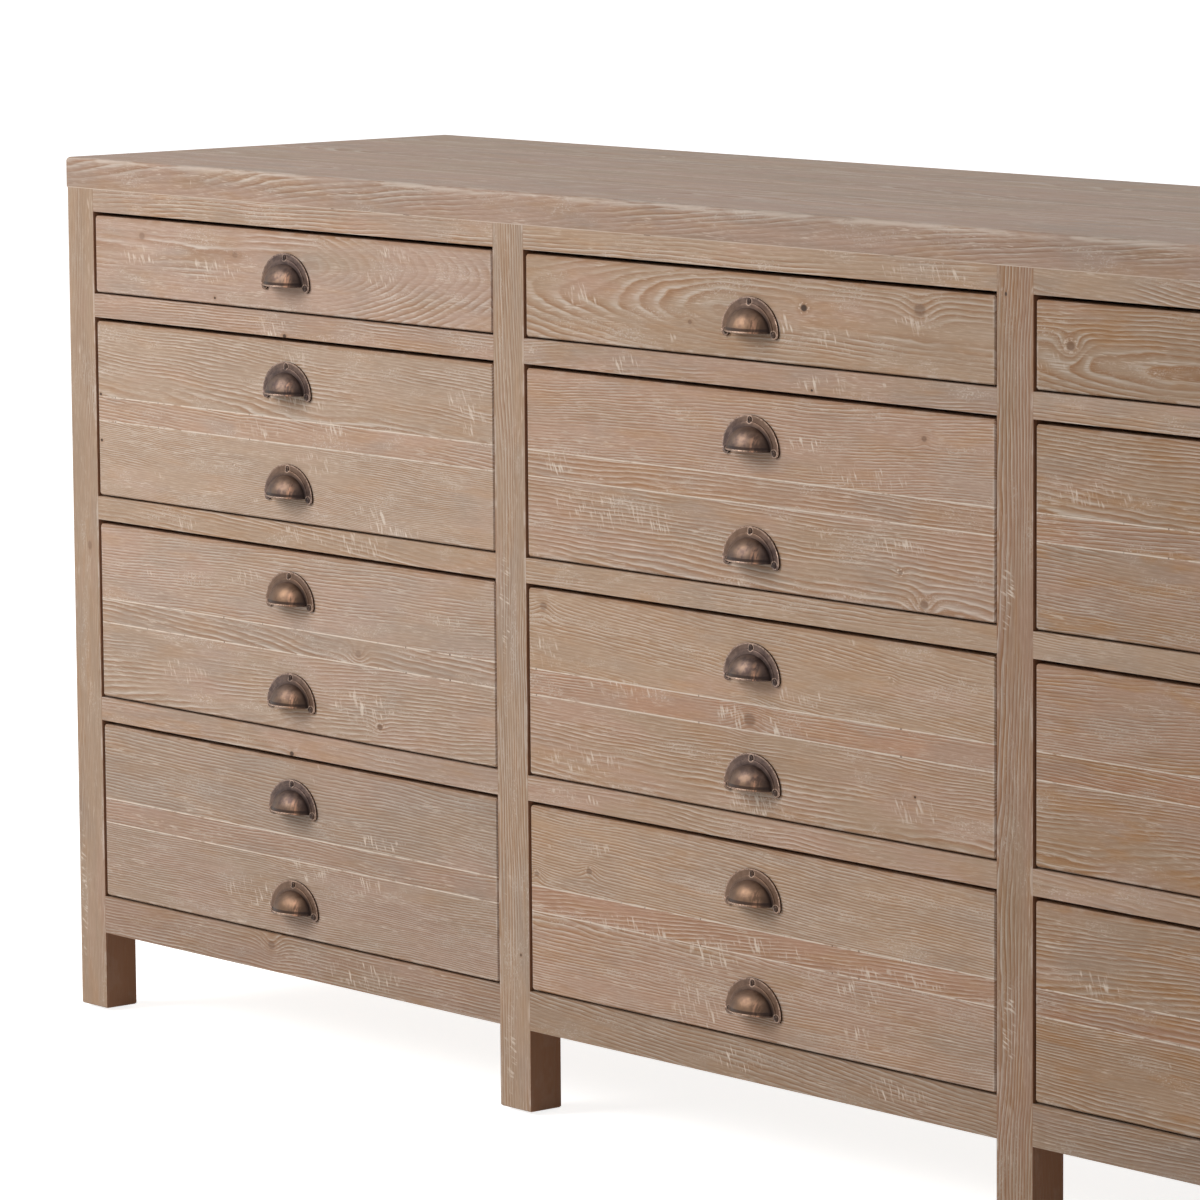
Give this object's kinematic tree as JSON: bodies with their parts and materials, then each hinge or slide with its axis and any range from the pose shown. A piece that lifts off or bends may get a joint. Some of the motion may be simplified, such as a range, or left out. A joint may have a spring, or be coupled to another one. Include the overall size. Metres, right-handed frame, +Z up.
{
  "type": "drawer chest",
  "caption": "Long low pine chest of inset drawers: shallow drawers over deep ones that look like pairs, with cup pulls, on square legs.",
  "frame": {"origin": "on the floor, under the middle of the whole chest with its pulls", "axes": "+X along the front to the right seen from in front, +Y from the front to the back, +Z up"},
  "size_m": [2.048, 0.498, 0.853],
  "materials": {
    "limed_pine": "limed and waxed reclaimed pine, matt",
    "plain_pine": "planed pine, unfinished",
    "back_ply": "stained plywood, matt",
    "antique_copper": "antique copper, rubbed at the edges",
    "glide_plastic": "brown moulded plastic"
  },
  "bodies": {
    "carcass": {"top_boards": "limed_pine", "post_front_1": "limed_pine", "post_front_2": "limed_pine", "post_front_3": "limed_pine", "post_front_4": "limed_pine", "posts_rear": "limed_pine", "glides": "glide_plastic", "rails_front_top": "limed_pine", "rails_front_1": "limed_pine", "rails_front_2": "limed_pine", "rails_front_3": "limed_pine", "rails_front_bottom": "limed_pine", "rails_rear": "plain_pine", "rails_side": "limed_pine", "panel_left": "limed_pine", "panel_right": "limed_pine", "panels_back": "back_ply", "partition_1": "plain_pine", "partition_2": "plain_pine", "runners": "plain_pine", "kickers": "plain_pine", "guides": "plain_pine", "stops": "plain_pine"},
    "drawer_1_1": {"drawer_1_1_front": "limed_pine", "drawer_1_1_box": "plain_pine", "drawer_1_1_pulls": "antique_copper"},
    "drawer_1_2": {"drawer_1_2_front": "limed_pine", "drawer_1_2_box": "plain_pine", "drawer_1_2_pulls": "antique_copper"},
    "drawer_1_3": {"drawer_1_3_front": "limed_pine", "drawer_1_3_box": "plain_pine", "drawer_1_3_pulls": "antique_copper"},
    "drawer_1_4": {"drawer_1_4_front": "limed_pine", "drawer_1_4_box": "plain_pine", "drawer_1_4_pulls": "antique_copper"},
    "drawer_2_1": {"drawer_2_1_front": "limed_pine", "drawer_2_1_box": "plain_pine", "drawer_2_1_pulls": "antique_copper"},
    "drawer_2_2": {"drawer_2_2_front": "limed_pine", "drawer_2_2_box": "plain_pine", "drawer_2_2_pulls": "antique_copper"},
    "drawer_2_3": {"drawer_2_3_front": "limed_pine", "drawer_2_3_box": "plain_pine", "drawer_2_3_pulls": "antique_copper"},
    "drawer_2_4": {"drawer_2_4_front": "limed_pine", "drawer_2_4_box": "plain_pine", "drawer_2_4_pulls": "antique_copper"},
    "drawer_3_1": {"drawer_3_1_front": "limed_pine", "drawer_3_1_box": "plain_pine", "drawer_3_1_pulls": "antique_copper"},
    "drawer_3_2": {"drawer_3_2_front": "limed_pine", "drawer_3_2_box": "plain_pine", "drawer_3_2_pulls": "antique_copper"},
    "drawer_3_3": {"drawer_3_3_front": "limed_pine", "drawer_3_3_box": "plain_pine", "drawer_3_3_pulls": "antique_copper"},
    "drawer_3_4": {"drawer_3_4_front": "limed_pine", "drawer_3_4_box": "plain_pine", "drawer_3_4_pulls": "antique_copper"}
  },
  "joints": [
    {"name": "drawer_1_1_slide", "type": "slide", "parent": "carcass", "child": "drawer_1_1", "axis": [0, -1, 0], "range_m": [0, 0.32]},
    {"name": "drawer_1_2_slide", "type": "slide", "parent": "carcass", "child": "drawer_1_2", "axis": [0, -1, 0], "range_m": [0, 0.32]},
    {"name": "drawer_1_3_slide", "type": "slide", "parent": "carcass", "child": "drawer_1_3", "axis": [0, -1, 0], "range_m": [0, 0.32]},
    {"name": "drawer_1_4_slide", "type": "slide", "parent": "carcass", "child": "drawer_1_4", "axis": [0, -1, 0], "range_m": [0, 0.32]},
    {"name": "drawer_2_1_slide", "type": "slide", "parent": "carcass", "child": "drawer_2_1", "axis": [0, -1, 0], "range_m": [0, 0.32]},
    {"name": "drawer_2_2_slide", "type": "slide", "parent": "carcass", "child": "drawer_2_2", "axis": [0, -1, 0], "range_m": [0, 0.32]},
    {"name": "drawer_2_3_slide", "type": "slide", "parent": "carcass", "child": "drawer_2_3", "axis": [0, -1, 0], "range_m": [0, 0.32]},
    {"name": "drawer_2_4_slide", "type": "slide", "parent": "carcass", "child": "drawer_2_4", "axis": [0, -1, 0], "range_m": [0, 0.32]},
    {"name": "drawer_3_1_slide", "type": "slide", "parent": "carcass", "child": "drawer_3_1", "axis": [0, -1, 0], "range_m": [0, 0.32]},
    {"name": "drawer_3_2_slide", "type": "slide", "parent": "carcass", "child": "drawer_3_2", "axis": [0, -1, 0], "range_m": [0, 0.32]},
    {"name": "drawer_3_3_slide", "type": "slide", "parent": "carcass", "child": "drawer_3_3", "axis": [0, -1, 0], "range_m": [0, 0.32]},
    {"name": "drawer_3_4_slide", "type": "slide", "parent": "carcass", "child": "drawer_3_4", "axis": [0, -1, 0], "range_m": [0, 0.32]}
  ]
}
